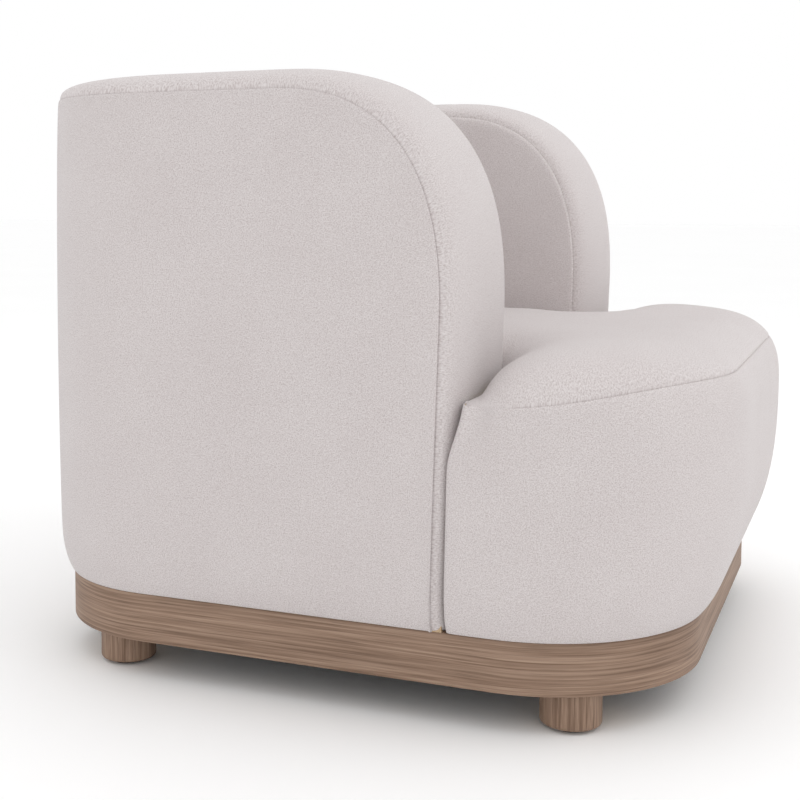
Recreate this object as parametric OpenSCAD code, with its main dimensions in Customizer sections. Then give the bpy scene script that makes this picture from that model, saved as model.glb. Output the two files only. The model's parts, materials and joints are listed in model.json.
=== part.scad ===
// Single-seat upholstered unit: U-shaped shell and tight seat on a bent timber plinth.
// Millimetres. +Z up, front faces -Y, origin on the floor under the centre of the body.

/* [Plinth] */
// Width of the timber plinth
plinth_w = 870; // [800:5:1080]
// Depth of the timber plinth, front to back
plinth_d = 840; // [700:2:1040]
// Height of the plinth band
plinth_h = 62; // [45:1:90]
// Thickness of the plinth band
plinth_t = 28; // [22:1:32]
// Outside radius of the two front corners
front_r = 205; // [170:1:250]
// Outside radius of the two back corners
back_r = 178; // [140:1:215]

/* [Feet] */
// Clear height under the plinth
foot_h = 47; // [38:1:90]
// Diameter of a foot
foot_d = 72; // [50:1:90]
// Front foot centre, in from the inner face of its bent corner
foot_in_front = 13; // [13:1:40]
// Back foot centre, in from the inner face of its bent corner
foot_in_back = 22; // [13:1:40]
// How far round its corner a front foot stands, from the side rail, in degrees
foot_turn_front = 29; // [10:1:80]
// How far round its corner a back foot stands, from the side rail, in degrees
foot_turn_back = 25; // [10:1:80]
// Thickness of the felt glide
glide_h = 4; // [3:0.5:8]
// Diameter of the foot bolt
bolt_d = 8; // [6:1:10]

/* [Shell] */
// Height of the shell's crown above the floor
total_h = 765; // [700:5:900]
// How far the fabric stands out past the plinth at the sides and back
overhang = 14; // [5:1:25]
// Thickness of an arm
arm_t = 225; // [180:5:270]
// Thickness of the back
back_t = 240; // [200:5:290]
// Straight stretch of the seat's side, from its front corner to the arm
arm_lead = 36; // [26:1:90]
// Rise of the crowned edge above the panel seams
crown = 27; // [15:1:35]
// Length of the arm's front curve, front to back
curve_d = 242; // [180:2:300]
// Height of the arm's front curve
curve_h = 260; // [200:5:330]
// Inside radius of the shell's back corners
inner_r = 130; // [80:5:180]

/* [Seat] */
// Height of the seat's panel seam above the floor
seam_h = 384; // [350:2:420]
// Height of the seat's crown above the floor
seat_h = 438; // [410:2:490]
// How far the seat face stands out past the front of the plinth
seat_overhang = 36; // [25:1:55]
// Height of the seat frame
seat_frame_h = 185; // [140:5:200]
// Seat frame, in from the face of the plinth
frame_in = 4; // [2:1:10]
// Number of sinuous springs
spring_count = 5; // [3:1:6]

/* [Timber and padding] */
// Thickness of the frame timber
rail_t = 28; // [20:1:34]
// Thickness of the plywood profile panels
ply_t = 15; // [9:1:18]
// Thickness of the bent outer boards
board_t = 4; // [3:0.5:6]
// Thickness of the cover fabric
fabric_t = 2; // [1:0.5:3]
// Thickness of the outer foam
outer_foam_t = 12; // [8:1:18]
// Thickness of the inner foam on arms and back
inner_foam_t = 38; // [25:1:50]

/* [Hidden] */
$fn = 64;
gap = 0.3;                                   // clearance between curved neighbours
body_w = plinth_w + 2 * overhang;
body_d = plinth_d + overhang + seat_overhang;
half_w = body_w / 2;
y_back = body_d / 2;
y_face = -body_d / 2;                        // front face of the seat
plinth_back = y_back - overhang;
plinth_front = plinth_back - plinth_d;
deck_z = foot_h + plinth_h;                  // top of the plinth, where the upholstery starts
deck_t = 15;
block_h = plinth_h - deck_t - 8;             // height of the glue blocks under the deck
shell_r = back_r + overhang;
arm_zone = y_back - shell_r;                 // where the outside of the arm meets its corner
inner_x = half_w - arm_t;
inner_y = y_back - back_t;
inner_zone = inner_y - inner_r;              // where the inside of the arm meets its corner
top_z = total_h;
curve_power = 2.5;                           // squareness of the arm's front curve
curve_steps = 14;
outer_stack = fabric_t + outer_foam_t;       // depth of the outer board's outer face
inner_stack = fabric_t + inner_foam_t;
core_out = outer_stack + board_t;            // depth where the frame cavity starts
core_in = inner_stack;
crown_power = 2.6;                           // squareness of the crown across the arm
crown_levels = [0, 0.4, 0.7, 0.88, 1];       // heights of the crown's steps, as shares of its rise
seat_face_r = front_r + seat_overhang - 5;   // plan radius of the seat's front corners
corner_start = y_face + seat_face_r;         // where the seat's front corner meets its side
arm_front = corner_start + arm_lead;
seat_wrap = 18;                              // foam between the seat's tongue and its frame
seat_gap = 1;                                // between the seat and the shell
frame_top = deck_z + seat_frame_h;
spring_wire = 4;
spring_amp = 22;
spring_loops = 7;
pad_t = 5;
foam_z = frame_top + spring_wire + pad_t + 1;
dome_round = 120;                            // reach of the seat's rounded edge, in from its seam
dome_levels = [0, 0.35, 0.65, 0.87, 1];      // heights of the dome's steps, as shares of its rise
level_cap = 0.97;                            // keeps the top step of a crown or dome from closing up
far = 2 * body_d;

// ---- plan outlines ----

// Rectangle from y0 to y1 with its own radii at the front (y0) and back (y1) corners.
module rounded_plan(hw, y0, y1, rf, rb) {
    for (s = [-1, 1]) {
        translate([s * (hw - rf), y0 + rf]) circle(r = rf);
        translate([s * (hw - rb), y1 - rb]) circle(r = rb);
    }
    translate([-hw, y0 + rf]) square([2 * hw, y1 - rb - y0 - rf]);
    translate([-(hw - rf), y0]) square([2 * (hw - rf), rf + 1]);
    translate([-(hw - rb), y1 - rb - 1]) square([2 * (hw - rb), rb + 1]);
}

module plinth_plan(inset) {
    rounded_plan(plinth_w / 2 - inset, plinth_front + inset, plinth_back - inset,
        front_r - inset, back_r - inset);
}

// Outside of the shell, open-ended towards the front.
module shell_plan(inset) {
    hw = half_w - inset;
    r = shell_r - inset;
    for (s = [-1, 1]) translate([s * (hw - r), y_back - inset - r]) circle(r = r);
    translate([-hw, -far]) square([2 * hw, far + y_back - inset - r]);
    translate([-(hw - r), 0]) square([2 * (hw - r), y_back - inset]);
}

// Space between the arms, grown by depth into the padding.
module inner_plan(depth) {
    hw = inner_x + depth;
    r = max(1, inner_r + depth);
    for (s = [-1, 1]) translate([s * (hw - r), inner_y + depth - r]) circle(r = r);
    translate([-hw, -far - 10]) square([2 * hw, far + 10 + inner_y + depth - r]);
    translate([-(hw - r), -far - 10]) square([2 * (hw - r), far + 10 + inner_y + depth]);
}

// Seat outline: full width in front of the arms and a tongue between them.
module seat_plan(inset) {
    hw = half_w - inset;
    r = seat_face_r - inset;
    turn_y = y_face + seat_face_r;
    back_edge = arm_front - seat_gap - inset;
    intersection() {
        union() {
            for (s = [-1, 1]) translate([s * (hw - r), turn_y]) circle(r = r);
            translate([-(hw - r), y_face + inset]) square([2 * (hw - r), r]);
        }
        translate([-half_w, y_face]) square([body_w, seat_face_r]);
    }
    translate([-hw, turn_y]) square([2 * hw, back_edge - turn_y]);
    intersection() {
        inner_plan(-seat_gap - inset);
        translate([-half_w, turn_y]) square([body_w, far]);
    }
}

// ---- side profile of the shell ----

function curve_y(a) = pow(sin(a), 2 / curve_power);
function curve_z(a) = pow(cos(a), 2 / curve_power);

// Height of the arm frame's top edge at a place along the arm.
function frame_z(y) =
    let (back = max(0, (arm_front + curve_d - y) / (curve_d - crown)))
    top_z - curve_h - crown + curve_h * curve_z(asin(pow(min(1, back), curve_power / 2)));

// Arm outline in the Y-Z plane, pulled in by inset from the crown.
function arm_profile(inset) = concat(
    [[y_back + 10, deck_z], [y_back + 10, top_z - inset]],
    [for (i = [0:curve_steps])
        let (a = 90 * i / curve_steps)
        [arm_front + curve_d - (curve_d - inset) * curve_y(a),
         top_z - curve_h - crown + (curve_h + crown - inset) * curve_z(a)]],
    [[arm_front + inset, deck_z]]
);

module profile_slab(inset) {
    rotate([90, 0, 90]) translate([0, 0, -half_w - 5]) linear_extrude(body_w + 10)
        polygon(arm_profile(inset));
}

// Wall that follows the outside of the shell between two depths.
module outer_layer(d0, d1, edge) {
    intersection() {
        translate([0, 0, deck_z]) linear_extrude(top_z) difference() {
            shell_plan(d0);
            shell_plan(d1);
        }
        profile_slab(edge);
    }
}

// Wall that follows the inside of the shell between two depths.
module inner_layer(d0, d1, edge) {
    intersection() {
        translate([0, 0, deck_z]) linear_extrude(top_z) difference() {
            intersection() {
                inner_plan(d1);
                translate([-half_w, arm_front + edge]) square([body_w, far]);
            }
            inner_plan(d0);
        }
        profile_slab(edge);
    }
}

// Full thickness of the shell, with skin taken off all its faces.
module shell_body(skin, pull, edge) {
    intersection() {
        translate([0, 0, deck_z]) linear_extrude(top_z) difference() {
            shell_plan(skin + pull);
            inner_plan(skin + pull);
        }
        profile_slab(edge);
    }
}

// Crowned edge above the seams, as a short stack that rounds in at both sides.
module crown_body(skin) {
    for (i = [1:len(crown_levels) - 1]) {
        rise = crown_levels[i];
        width = pow(1 - pow(min(rise, level_cap), crown_power), 1 / crown_power);
        difference() {
            shell_body(skin, (1 - width) * arm_t / 2, crown - (crown - skin) * rise);
            shell_body(-1, -1, crown);
        }
    }
}

module left_zone(y) {
    translate([-far, -far, -1]) cube([far, far + y, far]);
}

module right_zone(y) {
    translate([0, -far, -1]) cube([far, far + y, far]);
}

module back_zone(y) {
    translate([-far, y, -1]) cube([2 * far, far, far]);
}

// ---- plinth ----

module plinth_band() {
    translate([0, 0, foot_h]) linear_extrude(plinth_h) difference() {
        plinth_plan(0);
        plinth_plan(plinth_t);
    }
}

module plinth_corner(side, y0, y1, r) {
    x = plinth_w / 2 - r;
    color("#a58a70") intersection() {
        plinth_band();
        translate([side > 0 ? x : -x - r - 1, y0, 0]) cube([r + 1, y1 - y0, far]);
    }
}

module plinth_corner_front_left() { plinth_corner(-1, plinth_front - 1, plinth_front + front_r, front_r); }
module plinth_corner_front_right() { plinth_corner(1, plinth_front - 1, plinth_front + front_r, front_r); }
module plinth_corner_back_left() { plinth_corner(-1, plinth_back - back_r, plinth_back + 1, back_r); }
module plinth_corner_back_right() { plinth_corner(1, plinth_back - back_r, plinth_back + 1, back_r); }

module plinth_front_rail() {
    color("#a58a70") translate([-(plinth_w / 2 - front_r), plinth_front, foot_h])
        cube([plinth_w - 2 * front_r, plinth_t, plinth_h]);
}

module plinth_back_rail() {
    color("#a58a70") translate([-(plinth_w / 2 - back_r), plinth_back - plinth_t, foot_h])
        cube([plinth_w - 2 * back_r, plinth_t, plinth_h]);
}

module plinth_side_rail(x) {
    color("#a58a70") translate([x, plinth_front + front_r, foot_h])
        cube([plinth_t, plinth_d - front_r - back_r, plinth_h]);
}

module plinth_left_rail() { plinth_side_rail(-plinth_w / 2); }
module plinth_right_rail() { plinth_side_rail(plinth_w / 2 - plinth_t); }

// ---- feet ----

// Reach is from the centre of a plinth corner to its foot.
reach_front = front_r - plinth_t - foot_in_front;
reach_back = back_r - plinth_t - foot_in_back;
foot_x_front = plinth_w / 2 - front_r + reach_front * cos(foot_turn_front);
foot_x_back = plinth_w / 2 - back_r + reach_back * cos(foot_turn_back);
foot_y_front = plinth_front + front_r - reach_front * sin(foot_turn_front);
foot_y_back = plinth_back - back_r + reach_back * sin(foot_turn_back);
foot_places = [
    [-foot_x_front, foot_y_front], [foot_x_front, foot_y_front],
    [-foot_x_back, foot_y_back], [foot_x_back, foot_y_back]
];
bolt_hole = bolt_d + 2 * gap;
bolt_bottom = glide_h + 12;
tee_flange = 2;

module at_feet() {
    for (p = foot_places) translate([p[0], p[1], 0]) children();
}

module foot(p) {
    ease = 3;
    color("#a98e74") translate([p[0], p[1], glide_h]) difference() {
        union() {
            cylinder(d1 = foot_d - 2 * ease, d2 = foot_d, h = ease);
            translate([0, 0, ease]) cylinder(d = foot_d, h = foot_h - glide_h - ease);
        }
        translate([0, 0, bolt_bottom - glide_h]) cylinder(d = bolt_hole, h = foot_h);
    }
}

module foot_front_left() { foot(foot_places[0]); }
module foot_front_right() { foot(foot_places[1]); }
module foot_back_left() { foot(foot_places[2]); }
module foot_back_right() { foot(foot_places[3]); }

module foot_bolts() {
    color("silver") at_feet() translate([0, 0, bolt_bottom + 1])
        cylinder(d = bolt_d, h = foot_h + block_h - 4 - bolt_bottom);
}

module tee_nuts() {
    color("silver") at_feet() translate([0, 0, foot_h + block_h]) difference() {
        union() {
            cylinder(d = 2.4 * bolt_d, h = tee_flange);
            translate([0, 0, -9]) cylinder(d = bolt_d + 3, h = 9);
        }
        translate([0, 0, -10]) cylinder(d = bolt_hole, h = 20);
    }
}

module foot_glides() {
    color("dimgray") at_feet() cylinder(d = 0.64 * foot_d, h = glide_h);
}

// Corner areas round the feet, out past the plinth.
module foot_corners(grow) {
    for (p = foot_places)
        mirror([p[0] < 0 ? 1 : 0, 0]) mirror([0, p[1] < 0 ? 1 : 0])
            translate([abs(p[0]) - 60 - grow, abs(p[1]) - 45 - grow]) square(far);
}

module glue_blocks() {
    color("burlywood") translate([0, 0, foot_h]) difference() {
        linear_extrude(block_h) intersection() {
            plinth_plan(plinth_t + gap);
            foot_corners(0);
        }
        at_feet() translate([0, 0, -1]) cylinder(d = bolt_hole, h = far);
        at_feet() translate([0, 0, block_h - 9 - gap]) cylinder(d = bolt_d + 3 + 2 * gap, h = far);
    }
}

// ---- base ----

module base_deck() {
    color("tan") translate([0, 0, deck_z - deck_t]) linear_extrude(deck_t)
        plinth_plan(plinth_t + gap);
}

module dust_cover() {
    color("#222222") translate([0, 0, foot_h + 2]) linear_extrude(1) difference() {
        plinth_plan(plinth_t + 2);
        foot_corners(2);
    }
}

// ---- seat frame ----

seat_in = seat_wrap + fabric_t;              // frame face, in from the sides of the tongue
tongue_x = inner_x - seat_gap - seat_in;     // outside of the side rails between the arms
tongue_back = inner_y - seat_gap - seat_in;
seat_front_in = plinth_front + frame_in;
seat_bend_y = plinth_front + front_r;        // where the frame's front bends meet its sides
seat_side_y = arm_front - seat_gap - frame_in;

module seat_rail_block(x0, y0, dx, dy) {
    color("wheat") translate([x0, y0, deck_z]) cube([dx, dy, seat_frame_h]);
}

module seat_front_rail() {
    hw = plinth_w / 2 - front_r;
    seat_rail_block(-hw, seat_front_in, 2 * hw, rail_t);
}

module seat_back_rail() {
    hw = inner_x - inner_r;
    seat_rail_block(-hw, tongue_back - rail_t, 2 * hw, rail_t);
}

module seat_side_rail(x) {
    seat_rail_block(x, seat_front_in + rail_t, rail_t, inner_zone - rail_t - seat_front_in);
}

module seat_left_rail() { seat_side_rail(-tongue_x); }
module seat_right_rail() { seat_side_rail(tongue_x - rail_t); }

// Quarter ring of bent plywood; quarter is its side of the centre in Y.
module seat_bend(r, quarter) {
    intersection() {
        difference() {
            cylinder(r = r, h = seat_frame_h);
            translate([0, 0, -1]) cylinder(r = r - ply_t, h = far);
        }
        translate([0, quarter > 0 ? 0 : -far, 0]) cube([far, far, seat_frame_h]);
    }
}

// The bends on one side: round the front corner, and round the back of the tongue.
module seat_corner() {
    color("wheat") translate([plinth_w / 2 - front_r, seat_bend_y, deck_z])
        seat_bend(front_r - frame_in, -1);
    color("wheat") translate([inner_x - inner_r, inner_zone, deck_z])
        seat_bend(inner_r - seat_gap - seat_in, 1);
}

module seat_corner_right() { seat_corner(); }
module seat_corner_left() { mirror([1, 0, 0]) seat_corner(); }

module seat_stretcher() {
    hw = tongue_x - rail_t - gap;
    color("wheat") translate([-hw, (seat_front_in + tongue_back) / 2, deck_z])
        cube([2 * hw, rail_t, seat_frame_h - 45]);
}

// Short side pieces and the cross pieces that close the frame behind the front corners.
module seat_returns() {
    side_x = plinth_w / 2 - frame_in - ply_t;
    for (s = [-1, 1]) {
        color("wheat") translate([s > 0 ? side_x : -side_x - ply_t, seat_bend_y, deck_z])
            cube([ply_t, seat_side_y - seat_bend_y, seat_frame_h]);
        color("wheat") translate([s > 0 ? tongue_x : -side_x, seat_side_y - rail_t, deck_z])
            cube([side_x - tongue_x, rail_t, seat_frame_h]);
    }
}

// ---- springing ----

// The springs run from side rail to side rail.
spring_half = tongue_x - rail_t / 2;
spring_y0 = seat_front_in + rail_t + spring_amp + 15;
spring_y1 = inner_zone - spring_amp;
spring_pitch = (spring_y1 - spring_y0) / max(1, spring_count - 1);

function spring_point(t) = [spring_half * (2 * t - 1), spring_amp * sin(360 * spring_loops * t)];

module sinuous_spring() {
    n = spring_loops * 8;
    near = [for (i = [0:n]) spring_point(i / n) + [0, -spring_wire / 2]];
    beyond = [for (i = [0:n]) spring_point((n - i) / n) + [0, spring_wire / 2]];
    translate([0, 0, frame_top + 0.5]) linear_extrude(spring_wire) polygon(concat(near, beyond));
}

module each_spring() {
    for (i = [0:spring_count - 1]) translate([0, spring_y0 + i * spring_pitch, 0]) children();
}

module seat_springs() {
    color("silver") each_spring() sinuous_spring();
}

module spring_clips() {
    clip_t = 0.5;
    for (x = [-spring_half, spring_half])
        color("gray") each_spring() translate([x - 8, -10, frame_top]) cube([16, 20, clip_t]);
}

module spring_pad() {
    color("#8c7b66") translate([0, 0, frame_top + spring_wire + 0.7]) linear_extrude(pad_t)
        intersection() {
            seat_plan(seat_in + 6);
            plinth_plan(frame_in + 6);
        }
}

// ---- seat foam and covers ----

// Dome above the seam, as a short stack that pulls in towards the crown.
module seat_dome(skin) {
    rise = seat_h - seam_h - skin;
    for (i = [1:len(dome_levels) - 1]) {
        pull = dome_round * (1 - sqrt(1 - pow(min(dome_levels[i], level_cap), 2)));
        translate([0, 0, seam_h + rise * dome_levels[i - 1]])
            linear_extrude(rise * (dome_levels[i] - dome_levels[i - 1])) seat_plan(skin + pull);
    }
}

module seat_foam() {
    color("#efe3b4") {
        translate([0, 0, foam_z]) linear_extrude(seam_h - foam_z) seat_plan(fabric_t);
        seat_dome(fabric_t);
    }
}

// Foam wrap round the part of the seat frame that shows in front of the arms.
module seat_edge_foam() {
    color("#efe3b4") translate([0, 0, deck_z]) linear_extrude(foam_z - deck_z) intersection() {
        difference() {
            seat_plan(fabric_t);
            plinth_plan(frame_in - gap);
        }
        translate([-half_w, y_face]) square([body_w, seat_side_y - y_face]);
    }
}

module seat_top_cover() {
    color("#e4dcd8") difference() {
        seat_dome(0);
        seat_dome(fabric_t);
        translate([0, 0, seam_h - 1]) linear_extrude(1 + gap) square(far, center = true);
    }
}

module seat_boxing_cover() {
    color("#ddd5d1") translate([0, 0, deck_z]) linear_extrude(seam_h - deck_z) difference() {
        seat_plan(0);
        seat_plan(fabric_t);
        translate([-far, arm_front - seat_gap]) square([2 * far, far]);
    }
}

// ---- arm frames ----

arm_core_in = half_w - arm_t + core_in;      // inner face of the frame cavity, from the centre
arm_core_out = half_w - core_out;            // outer face of the frame cavity

module arm_panels() {
    for (x = [arm_core_in, arm_core_out - ply_t - gap])
        color("wheat") translate([x, 0, 0]) intersection() {
            rotate([90, 0, 90]) linear_extrude(ply_t) polygon(arm_profile(crown));
            translate([-1, -far, deck_z]) cube([far, far + arm_zone, far]);
        }
}

module right_arm_panels() { arm_panels(); }
module left_arm_panels() { mirror([1, 0, 0]) arm_panels(); }

module arm_blocks() {
    block = 40;
    x0 = arm_core_in + ply_t;
    dx = arm_core_out - 2 * ply_t - gap - x0;
    y0 = arm_front + crown;
    run = arm_zone - block - y0;
    upper = [for (share = [0.11, 0.5, 1]) [y0 + share * run, frame_z(y0 + share * run) - block - 1]];
    lower = [[y0, deck_z], [y0 + run / 2, deck_z], [y0 + run, deck_z]];
    front = [[y0, deck_z + 150], [y0, seam_h - 20]];
    color("burlywood") for (p = concat(upper, lower, front))
        translate([x0, p[0], p[1]]) cube([dx, block, block]);
}

module right_arm_blocks() { arm_blocks(); }
module left_arm_blocks() { mirror([1, 0, 0]) arm_blocks(); }

// ---- back frame ----

back_in = inner_y + core_in;                 // inner face of the back cavity
back_out = y_back - core_out - gap;          // outer face of the back cavity
back_half = min(half_w - shell_r, inner_x - inner_r + core_in);
post_w = 45;

module back_posts() {
    for (x = [-back_half, -post_w / 2, back_half - post_w])
        color("wheat") translate([x, back_out - rail_t, deck_z + rail_t])
            cube([post_w, rail_t, top_z - crown - deck_z - 2 * rail_t]);
}

module back_top_rail() {
    color("wheat") translate([-back_half, back_in, top_z - crown - rail_t])
        cube([2 * back_half, back_out - back_in, rail_t]);
}

module back_bottom_rail() {
    color("wheat") translate([-back_half, back_in, deck_z])
        cube([2 * back_half, back_out - back_in, rail_t]);
}

// Straps on the inner side of the back, from the bottom rail to the top rail.
module back_webbing() {
    strap_w = 50;
    strap_t = 1.5;
    count = max(2, floor(2 * back_half / (1.5 * strap_w)));
    pitch = (2 * back_half - strap_w - 6) / (count - 1);
    for (i = [0:count - 1])
        color("#5a4a3c") translate([-back_half + 3 + i * pitch, back_in - gap - strap_t, deck_z + 2])
            cube([strap_w, strap_t, top_z - crown - deck_z - 4]);
}

// Quarter ribs that carry the outer board round each back corner.
module corner_ribs() {
    rib_z = [deck_z, (deck_z + top_z - crown) / 2, top_z - crown - ply_t];
    for (z = rib_z)
        color("wheat") translate([0, 0, z]) linear_extrude(ply_t) intersection() {
            difference() {
                shell_plan(core_out + gap);
                inner_plan(core_in);
            }
            translate([back_half + gap, arm_zone + gap]) square([far, far]);
        }
}

module corner_ribs_right() { corner_ribs(); }
module corner_ribs_left() { mirror([1, 0, 0]) corner_ribs(); }

// ---- boards and foam round the shell ----

module left_outer_board() {
    color("peru") intersection() {
        outer_layer(outer_stack, core_out, crown);
        left_zone(arm_zone);
    }
}

module right_outer_board() {
    color("peru") intersection() {
        outer_layer(outer_stack, core_out, crown);
        right_zone(arm_zone);
    }
}

module back_outer_board() {
    color("peru") intersection() {
        outer_layer(outer_stack, core_out, crown);
        back_zone(arm_zone);
    }
}

module left_outer_foam() {
    color("#efe3b4") intersection() {
        outer_layer(fabric_t, outer_stack, crown);
        left_zone(arm_zone);
    }
}

module right_outer_foam() {
    color("#efe3b4") intersection() {
        outer_layer(fabric_t, outer_stack, crown);
        right_zone(arm_zone);
    }
}

module back_outer_foam() {
    color("#efe3b4") intersection() {
        outer_layer(fabric_t, outer_stack, crown);
        back_zone(arm_zone);
    }
}

module left_arm_foam() {
    color("#efe3b4") intersection() {
        inner_layer(fabric_t, inner_stack - gap, crown);
        left_zone(inner_zone);
    }
}

module right_arm_foam() {
    color("#efe3b4") intersection() {
        inner_layer(fabric_t, inner_stack - gap, crown);
        right_zone(inner_zone);
    }
}

// The straps lie in a shallow recess in the back foam.
module back_foam() {
    color("#efe3b4") difference() {
        intersection() {
            inner_layer(fabric_t, inner_stack - gap, crown);
            back_zone(inner_zone);
        }
        translate([-back_half, back_in - gap - 2, deck_z - 1]) cube([2 * back_half, 10, far]);
    }
}

module left_edge_foam() {
    color("#efe3b4") intersection() {
        crown_body(fabric_t);
        left_zone(inner_zone);
    }
}

module right_edge_foam() {
    color("#efe3b4") intersection() {
        crown_body(fabric_t);
        right_zone(inner_zone);
    }
}

module back_edge_foam() {
    color("#efe3b4") intersection() {
        crown_body(fabric_t);
        back_zone(inner_zone);
    }
}

// ---- covers ----

module outer_cover() {
    color("#e1d9d5") outer_layer(0, fabric_t, crown);
}

module inner_cover() {
    color("#e1d9d5") inner_layer(0, fabric_t, crown);
}

module edge_cover() {
    color("#e4dcd8") difference() {
        crown_body(0);
        crown_body(fabric_t);
    }
}

// ---- fasteners ----

screw_d = 5;

module frame_screws() {
    x = tongue_x - rail_t / 2;
    for (s = [-1, 1], y = [seat_front_in + 60, 0, inner_zone - 40])
        color("silver") translate([s * x, y, deck_z - deck_t - 6]) cylinder(d = 2 * screw_d, h = 6);
}

plinth_front_rail();
plinth_back_rail();
plinth_left_rail();
plinth_right_rail();
plinth_corner_front_left();
plinth_corner_front_right();
plinth_corner_back_left();
plinth_corner_back_right();
glue_blocks();
base_deck();
dust_cover();
foot_front_left();
foot_front_right();
foot_back_left();
foot_back_right();
foot_bolts();
tee_nuts();
foot_glides();
seat_front_rail();
seat_back_rail();
seat_left_rail();
seat_right_rail();
seat_corner_left();
seat_corner_right();
seat_stretcher();
seat_returns();
seat_springs();
spring_clips();
spring_pad();
seat_foam();
seat_edge_foam();
seat_top_cover();
seat_boxing_cover();
left_arm_panels();
right_arm_panels();
left_arm_blocks();
right_arm_blocks();
back_posts();
back_top_rail();
back_bottom_rail();
back_webbing();
corner_ribs_left();
corner_ribs_right();
left_outer_board();
right_outer_board();
back_outer_board();
left_arm_foam();
right_arm_foam();
back_foam();
left_outer_foam();
right_outer_foam();
back_outer_foam();
left_edge_foam();
right_edge_foam();
back_edge_foam();
outer_cover();
edge_cover();
inner_cover();
frame_screws();
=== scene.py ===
"""Single-seat upholstered lounge unit on a bent oak plinth: covers, padding, oak and the studio round it."""

import json
import math

import bmesh
import bpy
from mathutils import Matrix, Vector


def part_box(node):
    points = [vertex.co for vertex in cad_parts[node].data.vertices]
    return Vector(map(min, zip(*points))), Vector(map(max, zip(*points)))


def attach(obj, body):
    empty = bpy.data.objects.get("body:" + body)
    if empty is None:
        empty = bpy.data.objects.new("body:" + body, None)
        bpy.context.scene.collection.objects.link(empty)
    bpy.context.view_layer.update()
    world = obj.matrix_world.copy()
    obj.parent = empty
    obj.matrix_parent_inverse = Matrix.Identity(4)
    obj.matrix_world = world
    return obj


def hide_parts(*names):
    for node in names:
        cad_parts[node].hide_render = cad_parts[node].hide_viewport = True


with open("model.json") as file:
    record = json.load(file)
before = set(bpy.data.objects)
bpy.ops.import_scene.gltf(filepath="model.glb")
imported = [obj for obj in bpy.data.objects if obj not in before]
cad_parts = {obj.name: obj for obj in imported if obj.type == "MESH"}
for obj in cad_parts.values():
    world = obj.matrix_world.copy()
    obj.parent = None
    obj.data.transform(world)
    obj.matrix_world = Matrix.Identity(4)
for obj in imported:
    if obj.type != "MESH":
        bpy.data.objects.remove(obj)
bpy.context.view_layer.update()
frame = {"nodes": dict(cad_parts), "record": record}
nodes = frame["nodes"]

# ---- sizes read from the frame, in metres ----
FABRIC = 0.002        # thickness of the cover cloth
FACE_EASE = 0.005     # how much tighter the seat's front corners turn than the plinth's, moved out, would
outer_lo, outer_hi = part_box("outer_cover")
edge_lo, edge_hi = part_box("edge_cover")
inner_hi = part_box("inner_cover")[1]
boxing_lo, boxing_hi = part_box("seat_boxing_cover")
seat_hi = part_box("seat_top_cover")[1]
corner_front_lo, corner_front_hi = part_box("plinth_corner_front_left")
corner_back_lo, corner_back_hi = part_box("plinth_corner_back_left")

deck_z = outer_lo.z
plinth_z = corner_front_lo.z
plinth_w = -corner_front_lo.x
plinth_front = corner_front_lo.y
plinth_back = corner_back_hi.y
plinth_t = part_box("plinth_front_rail")[1].y - plinth_front
front_r = corner_front_hi.x - corner_front_lo.x
back_r = corner_back_hi.x - corner_back_lo.x

half_w = outer_hi.x
y_back = outer_hi.y
y_face = boxing_lo.y
overhang = half_w - plinth_w
face_overhang = plinth_front - y_face
shell_r = back_r + overhang
face_r = front_r + face_overhang - FACE_EASE
corner_y = y_face + face_r
seam_z = outer_hi.z
top_z = edge_hi.z
crown = top_z - seam_z
arm_front = edge_lo.y
inner_x = inner_hi.x - FABRIC
inner_y = inner_hi.y - FABRIC
inner_r = inner_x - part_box("seat_back_rail")[1].x
inner_zone = inner_y - inner_r
seat_seam_z = boxing_hi.z
seat_top_z = seat_hi.z

CURVE_D = 0.242       # length of the arm's front curve
CURVE_H = 0.260       # height of the arm's front curve
CURVE_POWER = 2.5     # squareness of the arm's front curve
CROWN_POWER = 2.6     # squareness of the crown across the arm
TUCK_H = 0.060        # height over which the cover rolls in to the plinth
SHADOW_GAP = 0.0015   # how far the cover's lower edge stands out from the plinth
HAIR = 0.001          # clearance between pieces that nearly touch
ON_MIDDLE = 0.00001   # a face this near x = 0 lies on the middle plane
WHITE = (1, 1, 1)


# ---- small helpers ----

def lerp(a, b, t):
    return a + (b - a) * t


def ease(t):
    t = min(max(t, 0.0), 1.0)
    return t * t * (3 - 2 * t)


def squircle(t, power):
    """Height of a rounded crown at t, which runs -1 to 1 across it."""
    return max(0.0, 1 - abs(t) ** power) ** (1 / power)


def roll_in(z):
    """Share of the overhang that the cover has at height z: 0 at the plinth, 1 above the roll."""
    h = min(max((z - deck_z) / TUCK_H, 0.0), 1.0)
    return max(0.0, 1 - (1 - h) ** 2) ** 0.667


def finish_piece(name, bm, material, replaced):
    """Turns a bmesh into a named piece that stands for CAD nodes."""
    mesh = bpy.data.meshes.new(name)
    bm.to_mesh(mesh)
    bm.free()
    mesh.materials.append(material)
    for face in mesh.polygons:
        face.use_smooth = True
    piece = bpy.data.objects.new(name, mesh)
    bpy.context.scene.collection.objects.link(piece)
    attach(piece, "root")
    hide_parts(*replaced)
    return piece


# ---- camera, floor and light ----

CAMERA_PLACE = (-1.903, -0.618, 0.608)
CAMERA_YAW = 23.1     # degrees from straight at the side
CAMERA_PITCH = 4.0    # degrees down
CAMERA_LENS = 61.3    # millimetres
CAMERA_SHIFT = (0.1026, -0.1335)


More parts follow.
